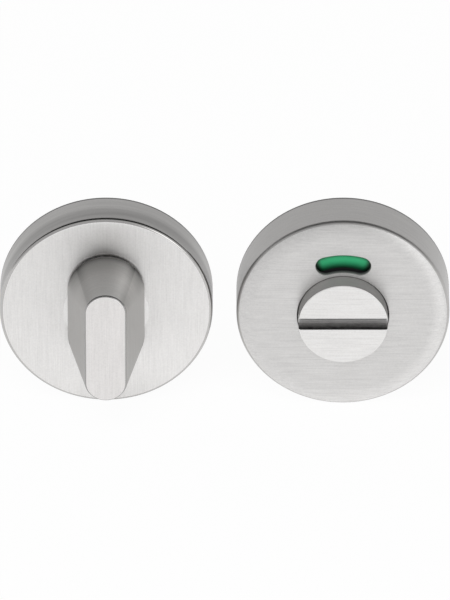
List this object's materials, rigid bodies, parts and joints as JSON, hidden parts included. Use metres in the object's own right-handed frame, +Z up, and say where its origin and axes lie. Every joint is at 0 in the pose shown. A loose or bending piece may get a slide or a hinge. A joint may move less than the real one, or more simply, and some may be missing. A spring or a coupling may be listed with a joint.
{
  "type": "toilet lock set",
  "caption": "Round brushed steel toilet lock set: a rose with a tapered thumb turn beside a rose with a coin-slot release button and a curved green and red indicator window.",
  "frame": {"origin": "centre of the thumb turn rose's back, where its turning axis meets the door face", "axes": "+Y into the door, along both turning axes and the spindle; +X from the thumb turn rose to the release rose; +Z up; both faces look towards -Y"},
  "size_m": [0.1119, 0.0638, 0.053],
  "materials": {
    "brushed_cover": "satin brushed stainless steel, fine straight grain",
    "brushed_turn": "satin ground stainless steel, slightly brighter faces",
    "brushed_button": "satin turned and brushed stainless steel",
    "zinc_plated_steel": "bright zinc plated steel",
    "spring_steel": "blued spring steel",
    "black_nylon": "black glass filled nylon, fine moulded texture",
    "white_acetal": "natural white acetal, low gloss",
    "disc_black": "black moulded plastic",
    "signal_green": "green printed inlay, smooth",
    "signal_red": "red printed inlay, smooth"
  },
  "bodies": {
    "roses": {"inside_rose_cover": "brushed_cover", "inside_base_plate": "black_nylon", "inside_bearing_bush": "white_acetal", "inside_fixing_screws": "zinc_plated_steel", "outside_rose_cover": "brushed_cover", "outside_bearing_carrier": "black_nylon", "outside_bearing_bush": "white_acetal", "outside_base_plate": "black_nylon", "outside_fixing_screws": "zinc_plated_steel"},
    "turn": {"thumb_turn": "brushed_turn", "turn_spindle": "zinc_plated_steel", "spindle_grub_screw": "spring_steel", "inside_spring_washer": "spring_steel", "inside_stop_ring": "zinc_plated_steel", "inside_circlip": "spring_steel"},
    "release": {"release_button": "brushed_button", "indicator_disc": "disc_black", "indicator_green_field": "signal_green", "indicator_red_field": "signal_red", "outside_spring_washer": "spring_steel", "outside_stop_ring": "zinc_plated_steel", "outside_circlip": "spring_steel"}
  },
  "joints": [
    {"name": "thumb_turn_hinge", "type": "hinge", "parent": "roses", "child": "turn", "pos_m": [0, -0.0109, 0], "axis": [0, 1, 0], "range_deg": [-90, 90]},
    {"name": "release_hinge", "type": "hinge", "parent": "roses", "child": "release", "pos_m": [0.0589, -0.0129, 0], "axis": [0, 1, 0], "range_deg": [-90, 90]}
  ]
}
